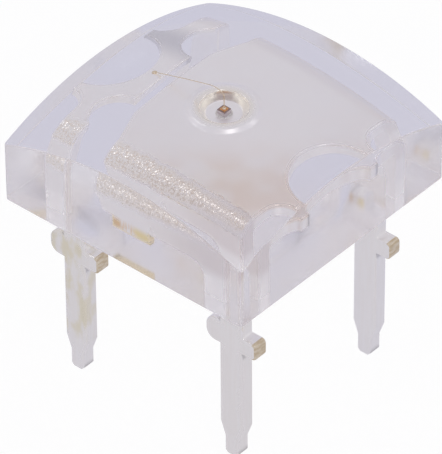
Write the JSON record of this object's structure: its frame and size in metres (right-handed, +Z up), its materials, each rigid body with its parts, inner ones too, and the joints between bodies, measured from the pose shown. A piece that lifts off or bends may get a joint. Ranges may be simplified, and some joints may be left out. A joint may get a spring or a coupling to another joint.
{
  "type": "square through-hole led",
  "caption": "Square clear-bodied LED with a domed top, a stamped lead frame and reflector cup cast inside, and flat leads with stand-off ears for a circuit board.",
  "frame": {"origin": "on the board's surface, where the stand-off ears rest, midway between the leads", "axes": "+Z up through the dome, away from the board; X across the leads' wide faces, with the reflector cup's half towards +X"},
  "size_m": [0.0076, 0.0076, 0.0086],
  "materials": {
    "clear_epoxy": "clear cast epoxy, polished, with a faint violet-grey cast",
    "plated_strip": "satin plated copper alloy, coarse on the bends, bare yellow metal at cut ends",
    "chip": "sawn semiconductor crystal, violet-grey",
    "contact_metal": "bright gold contact",
    "adhesive": "silver-filled adhesive",
    "gold_wire": "drawn gold wire"
  },
  "bodies": {
    "root": {"lens_body": "clear_epoxy", "cup_lead_frame": "plated_strip", "bond_lead_frame": "plated_strip", "led_die": "chip", "die_contact": "contact_metal", "die_attach": "adhesive", "bond_wire": "gold_wire"}
  },
  "joints": []
}
